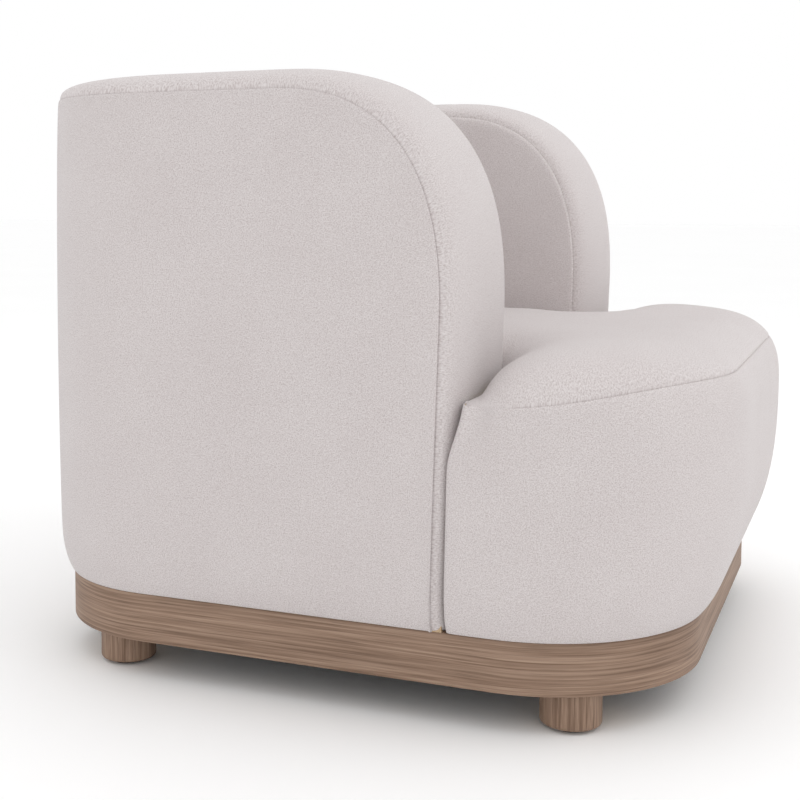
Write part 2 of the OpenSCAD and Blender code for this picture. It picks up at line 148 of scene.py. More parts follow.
def studio():
    scene = bpy.context.scene
    scene.view_settings.view_transform = "Standard"
    camera_data = bpy.data.cameras.new("camera")
    camera = bpy.data.objects.new("camera", camera_data)
    scene.collection.objects.link(camera)
    yaw = math.radians(CAMERA_YAW)
    pitch = math.radians(CAMERA_PITCH)
    camera.location = CAMERA_PLACE
    camera.rotation_euler = (math.pi / 2 - pitch, 0, yaw - math.pi / 2)
    camera_data.lens = CAMERA_LENS
    camera_data.shift_x, camera_data.shift_y = CAMERA_SHIFT
    camera_data.clip_end = 60
    scene.camera = camera

    bm = bmesh.new()
    bmesh.ops.create_grid(bm, x_segments=1, y_segments=1, size=30)
    floor_mesh = bpy.data.meshes.new("floor")
    bm.to_mesh(floor_mesh)
    bm.free()
    floor = bpy.data.objects.new("floor", floor_mesh)
    scene.collection.objects.link(floor)
    floor_mesh.materials.append(floor_paint())

    world = bpy.data.worlds.new("studio")
    scene.world = world
    world.use_nodes = True
    world.node_tree.nodes["Background"].inputs["Color"].default_value = (1, 1, 1, 1)
    world.node_tree.nodes["Background"].inputs["Strength"].default_value = 1.0

    def softbox(name, place, aim, size, power):
        data = bpy.data.lights.new(name, "AREA")
        data.shape = "RECTANGLE"
        data.size = size[0]
        data.size_y = size[1]
        data.energy = power
        lamp = bpy.data.objects.new(name, data)
        lamp.location = place
        lamp.rotation_euler = (Vector(aim) - Vector(place)).to_track_quat("-Z", "Y").to_euler()
        scene.collection.objects.link(lamp)

    softbox("key_softbox", (0.4, -3.0, 3.0), (0, 0, 0.4), (2.4, 2.4), 15)
    softbox("top_softbox", (-0.3, -0.2, 3.6), (0, 0, 0), (2.6, 2.6), 10)


# ---- materials ----

def new_material(name):
    material = bpy.data.materials.new(name)
    material.use_nodes = True
    tree = material.node_tree
    return material, tree, tree.nodes["Principled BSDF"]


def add(tree, kind, **settings):
    node = tree.nodes.new(kind)
    for key, value in settings.items():
        if key in node.inputs.keys():
            node.inputs[key].default_value = value
        else:
            setattr(node, key, value)
    return node


def place_on(tree, space, scale):
    """Texture place: space is Object, or the name of a UV map."""
    if space == "Object":
        source = add(tree, "ShaderNodeTexCoord").outputs["Object"]
    else:
        source = add(tree, "ShaderNodeUVMap", uv_map=space).outputs["UV"]
    mapping = add(tree, "ShaderNodeMapping")
    mapping.inputs["Scale"].default_value = scale
    tree.links.new(source, mapping.inputs["Vector"])
    return mapping.outputs["Vector"]


def noise(tree, vector, scale, detail=3.0, rough=0.55, warp=0.0):
    node = add(tree, "ShaderNodeTexNoise", Scale=scale, Detail=detail, Roughness=rough, Distortion=warp)
    tree.links.new(vector, node.inputs["Vector"])
    return node.outputs["Fac"]


def ramp(tree, value, stops):
    node = add(tree, "ShaderNodeValToRGB")
    points = node.color_ramp.elements
    while len(points) < len(stops):
        points.new(0.5)
    for point, (place, colour) in zip(points, stops):
        point.position = place
        point.color = (*colour, 1)
    tree.links.new(value, node.inputs["Fac"])
    return node.outputs["Color"]


def shade_by(tree, colour, share, value, low, shade, high):
    """Multiplies colour by shade where value is low, and leaves it alone where value is high."""
    node = add(tree, "ShaderNodeMix", data_type="RGBA", blend_type="MULTIPLY")
    node.inputs[0].default_value = share
    tree.links.new(colour, node.inputs[6])
    tree.links.new(ramp(tree, value, [(low, shade), (high, WHITE)]), node.inputs[7])
    return node.outputs[2]


def maths(tree, operation, a, b):
    node = add(tree, "ShaderNodeMath", operation=operation)
    for socket, value in ((node.inputs[0], a), (node.inputs[1], b)):
        if isinstance(value, (int, float)):
            socket.default_value = value
        else:
            tree.links.new(value, socket)
    return node.outputs[0]


def roughen(tree, shader, value, spread, least):
    """Roughness that goes up from least by spread times value."""
    rough = maths(tree, "ADD", maths(tree, "MULTIPLY", value, spread), least)
    tree.links.new(rough, shader.inputs["Roughness"])


def bump(tree, shader, height, strength, distance):
    node = add(tree, "ShaderNodeBump", Strength=strength, Distance=distance)
    tree.links.new(height, node.inputs["Height"])
    tree.links.new(node.outputs["Normal"], shader.inputs["Normal"])


def floor_paint():
    material, tree, shader = new_material("floor_paint")
    vector = place_on(tree, "Object", (1, 1, 1))
    tone = noise(tree, vector, 1.2, 2.0)
    colour = ramp(tree, tone, [(0.3, (0.985, 0.985, 0.985)), (0.7, (0.995, 0.995, 0.995))])
    tree.links.new(colour, shader.inputs["Base Color"])
    shader.inputs["Roughness"].default_value = 0.7
    return material


def threads(tree, vector, direction):
    """One set of the weave's threads."""
    node = add(tree, "ShaderNodeTexWave", bands_direction=direction, Scale=330.0, Distortion=5.0,
               Detail=1.5)
    tree.links.new(vector, node.inputs["Vector"])
    return node.outputs["Fac"]


def chenille(name):
    """Off-white cover cloth: short soft pile in a fine irregular weave. UV is in metres."""
    material, tree, shader = new_material(name)
    flat = place_on(tree, "cloth", (1, 1, 1))
    pile = noise(tree, flat, 720, 3.0, 0.62, 0.5)
    slub = noise(tree, place_on(tree, "cloth", (0.55, 1.6, 1)), 420, 2.0, 0.5, 0.3)
    shade = noise(tree, flat, 9, 3.0, 0.5)
    weave = maths(tree, "MULTIPLY", threads(tree, flat, "X"), threads(tree, flat, "Y"))
    base = ramp(tree, pile, [(0.36, (0.545, 0.485, 0.478)), (0.58, (0.745, 0.700, 0.695))])
    slubbed = shade_by(tree, base, 0.35, slub, 0.3, (0.86, 0.85, 0.85), 0.7)
    colour = shade_by(tree, slubbed, 0.6, shade, 0.3, (0.95, 0.94, 0.94), 0.7)
    tree.links.new(colour, shader.inputs["Base Color"])
    shader.inputs["Roughness"].default_value = 1.0
    shader.inputs["Sheen Weight"].default_value = 0.35
    shader.inputs["Sheen Roughness"].default_value = 0.45
    shader.inputs["Specular IOR Level"].default_value = 0.2
    height = maths(tree, "ADD", pile, maths(tree, "MULTIPLY", weave, 0.5))
    bump(tree, shader, maths(tree, "ADD", height, maths(tree, "MULTIPLY", slub, 0.6)), 0.55, 0.0009)
    return material


def oak(name, space, along, across):
    """Light brown oak under matt lacquer. along and across are the grain's scales; along is the long way."""
    material, tree, shader = new_material(name)
    scale = (along, across, 1) if space != "Object" else (across, across, along)
    vector = place_on(tree, space, scale)
    fibre = noise(tree, vector, 1.0, 5.0, 0.62, 0.35)
    streak = noise(tree, place_on(tree, space, tuple(0.33 * s for s in scale)), 1.0, 4.0, 0.55, 0.6)
    pores = noise(tree, place_on(tree, space, tuple(2.6 * s for s in scale)), 1.0, 2.0, 0.5)
    tone = noise(tree, place_on(tree, space, (2.2, 2.2, 2.2)), 1.0, 2.0)
    base = ramp(tree, fibre, [(0.30, (0.165, 0.098, 0.062)), (0.47, (0.285, 0.185, 0.128)),
                              (0.62, (0.375, 0.258, 0.186)), (0.80, (0.425, 0.302, 0.222))])
    banded = shade_by(tree, base, 0.75, streak, 0.32, (0.72, 0.69, 0.67), 0.60)
    pored = shade_by(tree, banded, 0.55, pores, 0.30, (0.42, 0.38, 0.36), 0.43)
    colour = shade_by(tree, pored, 0.8, tone, 0.3, (0.92, 0.91, 0.90), 0.7)
    tree.links.new(colour, shader.inputs["Base Color"])
    roughen(tree, shader, fibre, 0.22, 0.46)
    shader.inputs["Specular IOR Level"].default_value = 0.35
    bump(tree, shader, maths(tree, "ADD", fibre, pores), 0.35, 0.0006)
    return material


def board(name, light, dark, along):
    """Plain frame timber or plywood, grain stretched along one axis."""
    material, tree, shader = new_material(name)
    scale = {"X": (6, 90, 90), "Y": (90, 6, 90), "Z": (90, 90, 6)}[along]
    vector = place_on(tree, "Object", scale)
    fibre = noise(tree, vector, 1.0, 4.0, 0.6, 0.4)
    ring = noise(tree, place_on(tree, "Object", tuple(0.25 * s for s in scale)), 1.0, 2.0)
    base = ramp(tree, fibre, [(0.3, dark), (0.7, light)])
    colour = shade_by(tree, base, 0.5, ring, 0.35, (0.8, 0.75, 0.7), 0.6)
    tree.links.new(colour, shader.inputs["Base Color"])
    roughen(tree, shader, fibre, 0.2, 0.55)
    bump(tree, shader, fibre, 0.25, 0.0005)
    return material


def plywood(name):
    """Birch plywood: pale faces with thin darker glue lines between the plies."""
    material, tree, shader = new_material(name)
    fibre = noise(tree, place_on(tree, "Object", (70, 8, 8)), 1.0, 4.0)
    layers = add(tree, "ShaderNodeTexWave", bands_direction="DIAGONAL", Scale=110.0, Distortion=0.6,
                 Detail=1.0)
    tree.links.new(place_on(tree, "Object", (1, 1, 1)), layers.inputs["Vector"])
    base = ramp(tree, fibre, [(0.3, (0.50, 0.36, 0.22)), (0.7, (0.66, 0.50, 0.33))])
    colour = shade_by(tree, base, 0.45, layers.outputs["Fac"], 0.1, (0.72, 0.62, 0.5), 0.3)
    tree.links.new(colour, shader.inputs["Base Color"])
    roughen(tree, shader, fibre, 0.2, 0.55)
    bump(tree, shader, fibre, 0.2, 0.0004)
    return material


def speckled(name, light, dark, size, roughness, depth, metallic=0.0):
    """Foam, felt, black cloth or plated steel: fine grain over a slow change of tone."""
    material, tree, shader = new_material(name)
    vector = place_on(tree, "Object", (1, 1, 1))
    grain = noise(tree, vector, size, 4.0, 0.6)
    slow = noise(tree, vector, 12, 2.0)
    base = ramp(tree, grain, [(0.3, dark), (0.7, light)])
    colour = shade_by(tree, base, 0.5, slow, 0.3, (0.85, 0.84, 0.82), 0.7)
    tree.links.new(colour, shader.inputs["Base Color"])
    roughen(tree, shader, grain, 0.15, roughness)
    shader.inputs["Metallic"].default_value = metallic
    bump(tree, shader, grain, 0.5, depth)
    return material


def strap_weave(name):
    """Woven elastic webbing with coarse ribs across the strap."""
    material, tree, shader = new_material(name)
    vector = place_on(tree, "Object", (1, 1, 1))
    ribs = add(tree, "ShaderNodeTexWave", bands_direction="Z", Scale=160.0, Distortion=0.5)
    cords = add(tree, "ShaderNodeTexWave", bands_direction="X", Scale=120.0, Distortion=0.3)
    for wave in (ribs, cords):
        tree.links.new(vector, wave.inputs["Vector"])
    weave = maths(tree, "MULTIPLY", ribs.outputs["Fac"], cords.outputs["Fac"])
    colour = ramp(tree, weave, [(0.1, (0.055, 0.040, 0.030)), (0.8, (0.20, 0.155, 0.12))])
    tree.links.new(colour, shader.inputs["Base Color"])
    shader.inputs["Roughness"].default_value = 0.85
    bump(tree, shader, weave, 0.5, 0.0008)
    return material


cover_cloth = chenille("cover_cloth")
band_oak = oak("band_oak", "grain", 5.0, 330.0)
foot_oak = oak("foot_oak", "Object", 9.0, 230.0)
foam_stuff = speckled("foam", (0.80, 0.68, 0.40), (0.62, 0.50, 0.27), 900, 0.85, 0.0006)


# ---- outline of the shell ----

def arm_curve(turn, inset):
    """Point (y, z) of the arm's front curve; turn is 90 at its foot and 0 at its top."""
    a = math.radians(turn)
    y = arm_front + CURVE_D - (CURVE_D - inset) * math.sin(a) ** (2 / CURVE_POWER)
    rise = (CURVE_H + crown - inset) * max(0.0, math.cos(a)) ** (2 / CURVE_POWER)
    z = top_z - CURVE_H - crown + rise
    return y, z


def ray_to_outline(angle):
    """Where a ray from the inside corner's centre leaves the shell, and the outline's direction there."""
    cx = inner_x - inner_r
    dx, dy = math.cos(angle), math.sin(angle)
    ox, oy = half_w - shell_r, y_back - shell_r
    if dx > 1e-9:
        y = inner_zone + (half_w - cx) * dy / dx
        if y <= oy:
            return (half_w, y), (1.0, 0.0)
    if dy > 1e-9:
        x = cx + (y_back - inner_zone) * dx / dy
        if x <= ox:
            return (x, y_back), (0.0, 1.0)
    px, py = cx - ox, inner_zone - oy
    b = px * dx + py * dy
    reach = -b + math.sqrt(b * b - (px * px + py * py - shell_r ** 2))
    x, y = cx + dx * reach, inner_zone + dy * reach
    return (x, y), ((x - ox) / shell_r, (y - oy) / shell_r)


CURVE_STEPS = 36      # stations along the arm's front curve
CORNER_STEPS = 50     # from there round the back corner
BACK_STEPS = 8        # and along the back to its middle


def shell_stations():
    """Stations round the right half of the shell, from the front curve's foot to the middle of the back.
    Each is outer point, outward direction, inner point, inward direction, seam height and rise of the
    crown."""
    stations = []
    for i in range(CURVE_STEPS + 1):
        turn = 90 - 90 * i / CURVE_STEPS
        y, z = arm_curve(turn, crown)
        y_top, z_top = arm_curve(turn, 0)
        stations.append(((half_w, y), (1, 0), (inner_x, y), (-1, 0), z, (y_top - y, z_top - z)))
    y_start = stations[-1][0][1]
    if inner_zone - y_start > 0.008:
        stations.append(((half_w, inner_zone), (1, 0), (inner_x, inner_zone), (-1, 0), seam_z, (0, crown)))
    for i in range(1, CORNER_STEPS + 1):
        angle = math.pi / 2 * i / CORNER_STEPS
        outer, out = ray_to_outline(angle)
        inner = (inner_x - inner_r + inner_r * math.cos(angle), inner_zone + inner_r * math.sin(angle))
        stations.append((outer, out, inner, (-math.cos(angle), -math.sin(angle)), seam_z, (0, crown)))
    for i in range(1, BACK_STEPS + 1):
        x = (inner_x - inner_r) * (1 - i / BACK_STEPS)
        stations.append(((x, y_back), (0, 1), (x, inner_y), (0, -1), seam_z, (0, crown)))
    return stations


STATIONS = shell_stations()
UPRIGHT_ROWS = 44     # rows up the arm's straight front edge
PANEL_ROWS = 52       # rows up the side panels
CROWN_ROWS = 30       # rows across the crown
FOAM_DEPTH = 0.0034   # foam's face below the cover's face
PINCH = 0.0013        # how far the cloth dips into a seam
ALLOWANCE = 0.0031    # how far the cloth's turned-in edge reaches behind a seam
CROSSING = 0.0007     # how far the two turned-in edges of a seam pass each other
LEAN = 0.012          # how far the arm's front falls back at its foot
LEAN_STATIONS = 12    # stations over which a side panel's lean fades out
BULGE_STATIONS = 14   # and over which its bulge comes in
OUTER_BULGE = 0.005   # fullness of the outside panels
INNER_BULGE = 0.004   # and of the inside panels
INNER_FOAM = 0.0395   # thickness of the foam inside the arms and back
low_z = STATIONS[0][4]


def seam_rows(count, edge=0.0022):
    """Shares 0 to 1 with a narrow first and last row for the cloth's roll at a seam, and a turned-in row."""
    inner_rows = [edge * 1.6 + (1 - 3.2 * edge) * i / (count - 2) for i in range(count - 1)]
    return [0.0] + inner_rows + [1.0, 1.0]


def sunk(steps_from_edge):
    """How deep the cloth lies at its outermost rows."""
    return {0: ALLOWANCE, 1: PINCH}.get(steps_from_edge, 0.0)


def lean(z):
    """How far the arm's upright edge falls back at height z."""
    return LEAN * min(max((low_z - z) / (low_z - deck_z), 0.0), 1.0)


def upright(i):
    """Station of the boxing on the arm's upright front edge."""
    z = lerp(deck_z, low_z, i / UPRIGHT_ROWS)
    y = arm_front + crown + lean(z)
    return ((half_w, y), (1, 0), (inner_x, y), (-1, 0), z, (-crown, 0))


def grid_cell(co, columns, rows):
    return (co.x + 1) / 2 * columns, (co.y + 1) / 2 * rows


def flat_grid(columns, rows, keep):
    """Grid of the cells that keep(column, row) allows; without keep it has them all."""
    bm = bmesh.new()
    bmesh.ops.create_grid(bm, x_segments=columns, y_segments=rows, size=1.0)
    if keep:
        lost = [f for f in bm.faces if not keep(*grid_cell(f.calc_center_median(), columns, rows))]
        bmesh.ops.delete(bm, geom=lost, context="FACES")
    return bm


def placed_grid(columns, rows, place, keep=None):
    """Grid whose vertices are put where place(column, row) says; place returns a point and its cloth UV."""
    bm = flat_grid(columns, rows, keep)
    uv_of = {}
    for vert in bm.verts:
        i, j = grid_cell(vert.co, columns, rows)
        vert.co, uv_of[vert] = place(round(i), round(j))
    layer = bm.loops.layers.uv.new("cloth")
    for face in bm.faces:
        for loop in face.loops:
            loop[layer].uv = uv_of[loop.vert]
    return bm


def turn_out(bm, axis, sign):
    """Makes the cloth's faces look outwards; the face furthest along the axis tells which way that is."""
    far_face = max(bm.faces, key=lambda f: f.calc_center_median()[axis])
    far_face.normal_update()
    if far_face.normal[axis] * sign < 0:
        bmesh.ops.reverse_faces(bm, faces=bm.faces)


def mirror_half(bm):
    """Adds the left half across x = 0 and closes the middle."""
    geom = bm.verts[:] + bm.edges[:] + bm.faces[:]
    bmesh.ops.mirror(bm, geom=geom, axis="X", merge_dist=0.0001, mirror_u=False)
    bmesh.ops.remove_doubles(bm, verts=bm.verts, dist=0.0001)
    bmesh.ops.recalc_face_normals(bm, faces=bm.faces)


def open_middle(bm):
    """Takes away the wall on the middle plane, where the mirrored half will join."""
    middle = [f for f in bm.faces if abs(f.calc_center_median().x) < ON_MIDDLE]
    bmesh.ops.delete(bm, geom=middle, context="FACES")


def running_lengths(points):
    total = [0.0]
    for a, b in zip(points, points[1:]):
        total.append(total[-1] + (Vector(b) - Vector(a)).length)
    return total


def padded_block(columns, rows, face, back, keep=None):
    """Closed block between two placed grids; keep says which grid cells it has."""
    bm = flat_grid(columns, rows, keep)
    front = bm.verts[:]
    grown = bmesh.ops.extrude_face_region(bm, geom=bm.faces[:], use_keep_orig=True)["geom"]
    behind = [g for g in grown if isinstance(g, bmesh.types.BMVert)]
    for verts, put in ((front, face), (behind, back)):
        for vert in verts:
            i, j = grid_cell(vert.co, columns, rows)
            vert.co = put(round(i), round(j))[0]
    bmesh.ops.recalc_face_normals(bm, faces=bm.faces)
    return bm


def rise_direction(rise):
    size = math.hypot(rise[0], rise[1])
    return rise[0] / size, rise[1] / size


ARM_STEPS = next(i for i, s in enumerate(STATIONS) if s[2][1] >= inner_zone - 1e-6)
OUTER_ARM_STEPS = next(i for i, s in enumerate(STATIONS) if s[0][1] >= y_back - shell_r - 1e-6)


def panel_place(outer, depth, bulge, flat=None):
    """Placing rule for a panel round the outside or inside of the shell, sunk by depth below the cover's
    face. flat sinks it to one even depth, for the back of a foam."""
    side = 0 if outer else 2
    shares = seam_rows(PANEL_ROWS)
    lengths = running_lengths([s[side] for s in STATIONS])

    def place(i, j):
        k = max(i - 1, 0)
        point, out, seam = STATIONS[k][side], STATIONS[k][side + 1], STATIONS[k][4]
        share = shares[j]
        z = lerp(deck_z, seam, share)
        x, y = point[0], point[1] + lean(z) * max(0.0, 1 - k / LEAN_STATIONS)
        sink = max(sunk(i), sunk(len(shares) - 1 - j)) if depth == 0 and flat is None else 0.0
        crossing = CROSSING if sink == ALLOWANCE else 0.0
        foam_edge = (depth or flat) and (k == 0 or share == 1.0)
        edge_sink = FOAM_DEPTH + HAIR if foam_edge else sink - crossing
        if flat is None:
            fullness = bulge * (4 * share * (1 - share)) ** 0.6 * min(1.0, k / BULGE_STATIONS) ** 0.6
            push = fullness - depth - sink - crossing
            if outer:
                push -= (overhang - SHADOW_GAP) * (1 - roll_in(z))
        else:
            push = -flat
        down = rise_direction(STATIONS[k][5])
        y -= down[0] * edge_sink
        z -= down[1] * edge_sink
        if depth or flat:
            y = max(y, arm_front + crown + lean(z) + FOAM_DEPTH + HAIR)
        return Vector((x + out[0] * push, y + out[1] * push, z)), (lengths[k], z)

    return place, len(shares) - 1


def side_panel(outer, bulge):
    place, rows = panel_place(outer, 0, bulge)
    bm = placed_grid(len(STATIONS), rows, place)
    mirror_half(bm)
    turn_out(bm, 0, 1 if outer else -1)
    return bm


CROWN_PATH = [upright(i) for i in range(UPRIGHT_ROWS)] + STATIONS


def crown_place(depth, flat=False):
    """Placing rule for the crowned strip between the panel seams; flat gives the plane under the crown."""
    shares = [0.0] + seam_rows(CROWN_ROWS, 0.006)
    middles = [((s[0][0] + s[2][0]) / 2, (s[0][1] + s[2][1]) / 2, s[4]) for s in CROWN_PATH]
    lengths = running_lengths(middles)

    def place(i, j):
        outer, out, inner, _, z, rise = CROWN_PATH[i]
        share = shares[j]
        lift = squircle(2 * share - 1, CROWN_POWER)
        from_edge = min(j, len(shares) - 1 - j)
        crossing = CROSSING if from_edge == 0 and depth == 0 else 0.0
        if depth == 0 and sunk(from_edge):
            lift = -(sunk(from_edge) + crossing) / crown
        if flat:
            lift = 0
        width = (Vector(outer) - Vector(inner)).length
        across = lerp(depth / width, 1 - depth / width, share)
        x, y = lerp(outer[0], inner[0], across), lerp(outer[1], inner[1], across)
        inset = (overhang - SHADOW_GAP) * (1 - roll_in(z)) * (1 - ease(share / 0.5))
        if depth == 0:
            inset += (sunk(from_edge) - crossing) * (1 if share < 0.5 else -1)
        toward = rise_direction(rise)
        y -= toward[0] * depth * 0.5
        z -= toward[1] * depth * 0.5
        lift *= 1 - depth / crown
        point = Vector((x - out[0] * inset, y + rise[0] * lift - out[1] * inset, z + rise[1] * lift))
        return point, (share * width, lengths[i])

    return place, len(shares) - 1


def crown_strip():
    place, rows = crown_place(0)
    bm = placed_grid(len(CROWN_PATH) - 1, rows, place)
    mirror_half(bm)
    turn_out(bm, 2, 1)
    return bm


def span(place, start, first_row=0):
    """The same placing rule, starting further along."""
    return lambda i, j: place(i + start, j + first_row)


def foam_pieces(arm_name, back_name, place_face, place_back, rows, arm_steps, steps):
    """Left and right arm foams and the foam of the back, for one layer."""
    for side in ("right", "left"):
        bm = padded_block(arm_steps, rows, place_face, place_back)
        if side == "left":
            bmesh.ops.scale(bm, verts=bm.verts, vec=(-1, 1, 1))
            bmesh.ops.reverse_faces(bm, faces=bm.faces)
        finish_piece(side + arm_name + "_pad", bm, foam_stuff, [side + arm_name])
    bm = padded_block(steps - arm_steps, rows, span(place_face, arm_steps), span(place_back, arm_steps))
    open_middle(bm)
    mirror_half(bm)
    finish_piece("back" + back_name + "_pad", bm, foam_stuff, ["back" + back_name])


def build_foams():
    steps = len(STATIONS) - 1
    outer_face, rows = panel_place(True, FOAM_DEPTH, OUTER_BULGE)
    outer_back, _ = panel_place(True, 0, 0, flat=overhang - 0.0001)
    foam_pieces("_outer_foam", "_outer_foam", span(outer_face, 1), span(outer_back, 1), rows - 1,
                OUTER_ARM_STEPS, steps)
    inner_face, rows = panel_place(False, FOAM_DEPTH, INNER_BULGE)
    inner_back, _ = panel_place(False, 0, 0, flat=INNER_FOAM)
    foam_pieces("_arm_foam", "_foam", span(inner_face, 1), span(inner_back, 1), rows - 1, ARM_STEPS, steps)
    crown_face, rows = crown_place(FOAM_DEPTH)
    crown_back, _ = crown_place(FOAM_DEPTH, flat=True)
    foam_pieces("_edge_foam", "_edge_foam", span(crown_face, 0, 1), span(crown_back, 0, 1), rows - 2,
                ARM_STEPS + UPRIGHT_ROWS, steps + UPRIGHT_ROWS)


def finish_cloth(piece):
    """Gives the cloth its thickness inwards and smooths it."""
    wall = piece.modifiers.new("thickness", "SOLIDIFY")
    wall.thickness = FABRIC
    wall.offset = -1
    soft = piece.modifiers.new("smooth", "SUBSURF")
    soft.levels = soft.render_levels = 1


def build_shell():
    outer = finish_piece("outer_cover_cloth", side_panel(True, OUTER_BULGE), cover_cloth,
                         ["outer_cover"])
    finish_cloth(outer)
    inner = finish_piece("inner_cover_cloth", side_panel(False, INNER_BULGE), cover_cloth,
                         ["inner_cover"])
    finish_cloth(inner)
    edge = finish_piece("edge_cover_cloth", crown_strip(), cover_cloth,
                        ["edge_cover"])
    finish_cloth(edge)


# ---- seat ----

DOME_R = 0.110        # reach of the seat's rounded upper edge
DOME_POWER = 2.6      # squareness of that edge
SHOULDER_Z = seat_top_z - 0.098   # height where the seat's side starts to turn in
SIDE_R = 0.140        # the same, at the sides near the arms
ARM_R = 0.130         # reach of the dip along the arms' fronts
TONGUE_R = 0.085      # reach of the dip between the arms
SEAT_END = -0.153     # where the seat's shoulders meet the arms, at their corners
BELLY_FRONT = 0.014   # how far the filled seat swells past its frame line at the front
BELLY_SIDE = 0.003    # and at the sides
ARM_DIP = 0.962       # how deep the seat dips at the arms, as a share of its dome
BACK_DIP = 0.90       # and at the back
BLEND = 0.010         # softness of the change from the dome to the seam's height


def belly(turn):
    """Swell of the seat's side; turn is 0 at the front and 90 degrees at the side."""
    return lerp(BELLY_FRONT, BELLY_SIDE, math.sin(turn) ** 2)


def dome_inset(z):
    """How far in from the seat's widest line its rounded edge is at height z."""
    h = min(max((z - SHOULDER_Z) / (seat_top_z - SHOULDER_Z), 0.0), 1.0)
    return DOME_R * (1 - (1 - h ** DOME_POWER) ** (1 / DOME_POWER))


def arm_face_y(x):
    """Front face of the arm's crown at x."""
    mid = (half_w + inner_x) / 2
    across = (abs(x) - mid) / ((half_w - inner_x) / 2)
    return arm_front + crown * (1 - squircle(min(1.0, abs(across)), CROWN_POWER))


def seat_seam(turn):
    """Height of the seat's seam; it climbs from the side, where turn is 90 degrees, to the front."""
    return seat_seam_z - 0.007 + 0.026 * ease(math.cos(turn))


def seat_height(x, y):
    """Height of the domed seat at a place on its plan."""
    ax = abs(x)
    corner_x = half_w - face_r
    if y < corner_y and ax > corner_x:
        turn = math.atan2(ax - corner_x, corner_y - y)
        face_d = face_r + belly(turn) - math.hypot(ax - corner_x, y - corner_y)
    else:
        face_d = min(half_w + BELLY_SIDE - ax, y - y_face + BELLY_FRONT)
    limit = min(SEAT_END, arm_face_y(max(ax, inner_x)) - HAIR)
    arm_d = math.hypot(max(inner_x - ax, 0), max(limit - y, 0))
    back_x = inner_x - inner_r
    if y > inner_zone and ax > back_x:
        back_d = inner_r - math.hypot(ax - back_x, y - inner_zone)
    else:
        back_d = inner_y - y
    near_face = max(0.0, 1 - face_d / lerp(DOME_R, SIDE_R, ease((y - corner_y + 0.1) / 0.1)))
    near_arm = ARM_DIP * max(0.0, 1 - arm_d / lerp(ARM_R, TONGUE_R, ease((y - limit) / 0.06)))
    near_back = BACK_DIP * max(0.0, 1 - back_d / TONGUE_R)
    edge = min(1.0, (near_face ** 3 + near_arm ** 3 + near_back ** 3) ** (1 / 3))
    rise = (1 - edge ** DOME_POWER) ** (1 / DOME_POWER)
    z = SHOULDER_Z + (seat_top_z - SHOULDER_Z) * rise
    least = lerp(SHOULDER_Z, seat_seam(math.pi / 2), ease((y - corner_y + 0.06) / 0.08))
    return (z + least + math.sqrt((z - least) ** 2 + BLEND ** 2)) / 2


END_R = 0.044         # plan radius of the seat's shoulders at the seam
END_R_LOW = 0.014     # plan radius of the seat's shoulders lower down
SEAT_COLUMNS = 66
MIDDLE_STEPS = 12     # steps of the seat's outline from its middle to the front corner
TURN_STEPS = 24       # round the front corner
SIDE_STEPS = 3        # along the side
END_STEPS = 7         # round the shoulder, to the arm
TURNED = MIDDLE_STEPS + TURN_STEPS
BOXING_STEPS = TURNED + SIDE_STEPS + END_STEPS
EDGE_FOAM_STEPS = TURNED + SIDE_STEPS + 1   # the seat's edge foam ends as the shoulder starts to turn
EDGE_FOAM_BACK = 0.004   # how far inside the plinth's face that foam starts
FOAM_SPLIT = 0.0005   # gap between the seat's two foams
PLAN_Z = 0.2          # height at which the seat's outline is measured along
TONGUE_ROWS = 18      # rows of the seat between the arms
BACK_TURN_ROWS = 12   # and round its back corners


def seat_rows():
    """Rows of the seat's plan, each with its kind, y, half width and seam height: round the front corner,
    along the side, round the shoulder, then the tongue between the arms."""
    rows = []
    for i in [0] + list(range(TURN_STEPS + 1)):
        turn = math.radians(90 / TURN_STEPS * i)
        r = face_r + belly(turn) - dome_inset(seat_seam(turn))
        y = corner_y - r * math.cos(turn)
        rows.append(("front", y, half_w - face_r + r * math.sin(turn), seat_seam(turn)))
    side, seam = rows[-1][2:]
    start = SEAT_END - END_R
    rows.append(("front", start, side, seam))
    for i in range(1, END_STEPS + 1):
        turn = math.pi / 2 * i / END_STEPS
        rows.append(("front", start + END_R * math.sin(turn), side - END_R * (1 - math.cos(turn)), seam))
    shoulders = len(rows) - 1
    r = inner_r - HAIR
    for i in range(1, TONGUE_ROWS + 1):
        rows.append(("tongue", lerp(SEAT_END, inner_zone, i / TONGUE_ROWS), inner_x - HAIR, seam))
    for i in range(1, BACK_TURN_ROWS + 1):
        turn = math.pi / 2 * i / BACK_TURN_ROWS
        rows.append(("tongue", inner_zone + r * math.sin(turn), inner_x - inner_r + r * math.cos(turn), seam))
    return rows, shoulders


SEAT_ROWS, SHOULDER_ROW = seat_rows()


def on_seat(i, j):
    """Whether the seat has this cell of its grid: behind its shoulders only the middle half goes on."""
    return j < SHOULDER_ROW or abs(seat_share(i)) < 0.5


def seat_share(i):
    """Place of a column across the seat, from -1 to 1; the outermost columns are the turned-in edges."""
    return min(max(2 * (i - 1) / (SEAT_COLUMNS - 2) - 1, -1.0), 1.0)


def meet_arm(x, y, start):
    """Shortens the seat's shoulder, which begins at start, so that it stops at the arm's face."""
    if y <= start:
        return y
    limit = min(SEAT_END, arm_face_y(x) - HAIR)
    return start + (y - start) * (limit - start) / (SEAT_END - start)


